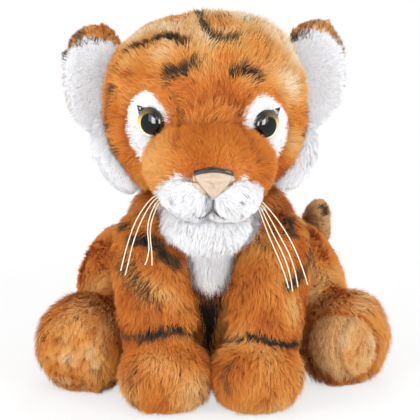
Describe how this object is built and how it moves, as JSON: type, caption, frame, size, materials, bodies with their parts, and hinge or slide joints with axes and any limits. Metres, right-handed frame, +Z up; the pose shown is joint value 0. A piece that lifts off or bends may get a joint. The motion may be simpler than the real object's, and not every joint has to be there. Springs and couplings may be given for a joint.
{
  "type": "plush tiger",
  "caption": "Sitting plush tiger cub of striped pile fabric, with a stuffed head, body and limbs, domed eyes, a sewn nose and mouth, and thread whiskers.",
  "frame": {"origin": "on the floor under the middle of the seat", "axes": "+Z up, -Y the way the toy faces, +X the tiger's own left"},
  "size_m": [0.2617, 0.2455, 0.2811],
  "materials": {
    "orange_pile": "long soft pile with dark brown stripes",
    "white_pile": "soft white pile",
    "sole_pile": "short pile",
    "nose_velour": "short velour",
    "fibre_filling": "loose polyester fibre",
    "pouch_cloth": "woven cotton",
    "felt": "matte felt",
    "dark_thread": "embroidery thread",
    "whisker_thread": "smooth monofilament",
    "eye_plastic": "glossy, with a gold ring round a black pupil",
    "washer_plastic": "moulded"
  },
  "bodies": {
    "torso": {"body_cover": "orange_pile", "body_filling": "fibre_filling", "bean_bag": "pouch_cloth", "chest_panel": "white_pile"},
    "neck": {"neck_plug": "fibre_filling"},
    "head": {"head_cover": "orange_pile", "head_filling": "fibre_filling", "snout_cover": "orange_pile", "snout_filling": "fibre_filling", "nose": "nose_velour", "nose_seam": "dark_thread", "mouth_thread": "dark_thread", "muzzle_pad_left": "white_pile", "muzzle_pad_right": "white_pile", "chin_pad": "white_pile", "cheek_ruff_left": "white_pile", "cheek_ruff_right": "white_pile", "eye_left": "eye_plastic", "eye_right": "eye_plastic", "eye_lash_left": "felt", "eye_lash_right": "felt", "eye_washer_left": "washer_plastic", "eye_washer_right": "washer_plastic", "eye_patch_left": "white_pile", "eye_patch_right": "white_pile", "whisker_right_upper": "whisker_thread", "whisker_right_outer": "whisker_thread", "whisker_right_inner": "whisker_thread", "whisker_right_lower": "whisker_thread", "whisker_left_upper": "whisker_thread", "whisker_left_outer": "whisker_thread", "whisker_left_inner": "whisker_thread", "whisker_left_lower": "whisker_thread"},
    "tail": {"tail_cover": "orange_pile", "tail_filling": "fibre_filling"},
    "ear_left": {"ear_back_left": "orange_pile", "ear_lining_left": "white_pile"},
    "foreleg_left": {"foreleg_cover_left": "orange_pile", "foreleg_filling_left": "fibre_filling", "toe_thread_outer_left": "dark_thread", "toe_thread_inner_left": "dark_thread"},
    "hindleg_left": {"hindleg_cover_left": "orange_pile", "hindleg_filling_left": "fibre_filling", "foot_sole_left": "sole_pile"},
    "ear_right": {"ear_back_right": "orange_pile", "ear_lining_right": "white_pile"},
    "foreleg_right": {"foreleg_cover_right": "orange_pile", "foreleg_filling_right": "fibre_filling", "toe_thread_outer_right": "dark_thread", "toe_thread_inner_right": "dark_thread"},
    "hindleg_right": {"hindleg_cover_right": "orange_pile", "hindleg_filling_right": "fibre_filling", "foot_sole_right": "sole_pile"}
  },
  "joints": [
    {"name": "neck_nod", "type": "hinge", "parent": "torso", "child": "neck", "pos_m": [0, -0.058, 0.146], "axis": [1, 0, 0], "range_deg": [-8, 8], "stiffness_Nm_per_rad": 4},
    {"name": "neck_turn", "type": "hinge", "parent": "neck", "child": "head", "pos_m": [0, -0.058, 0.146], "axis": [0, 0, 1], "range_deg": [-18, 18], "stiffness_Nm_per_rad": 2},
    {"name": "tail_swing", "type": "hinge", "parent": "torso", "child": "tail", "pos_m": [0.008, 0.038, 0.032], "axis": [0, 0, 1], "range_deg": [-4, 25], "stiffness_Nm_per_rad": 0.3},
    {"name": "ear_fold_left", "type": "hinge", "parent": "head", "child": "ear_left", "pos_m": [0.062, -0.038, 0.236], "axis": [0, 0, 1], "range_deg": [-14, 14], "stiffness_Nm_per_rad": 0.06},
    {"name": "foreleg_swing_left", "type": "hinge", "parent": "torso", "child": "foreleg_left", "pos_m": [0.04, -0.072, 0.124], "axis": [1, 0, 0], "range_deg": [-6, 13], "stiffness_Nm_per_rad": 0.8},
    {"name": "hindleg_lift_left", "type": "hinge", "parent": "torso", "child": "hindleg_left", "pos_m": [0.066, 0.006, 0.05], "axis": [1, 0, 0], "range_deg": [-4, 24], "stiffness_Nm_per_rad": 1.2},
    {"name": "ear_fold_right", "type": "hinge", "parent": "head", "child": "ear_right", "pos_m": [-0.062, -0.038, 0.236], "axis": [0, 0, 1], "range_deg": [-14, 14], "stiffness_Nm_per_rad": 0.06},
    {"name": "foreleg_swing_right", "type": "hinge", "parent": "torso", "child": "foreleg_right", "pos_m": [-0.04, -0.072, 0.124], "axis": [1, 0, 0], "range_deg": [-6, 13], "stiffness_Nm_per_rad": 0.8},
    {"name": "hindleg_lift_right", "type": "hinge", "parent": "torso", "child": "hindleg_right", "pos_m": [-0.066, 0.006, 0.05], "axis": [1, 0, 0], "range_deg": [-4, 24], "stiffness_Nm_per_rad": 1.2}
  ]
}
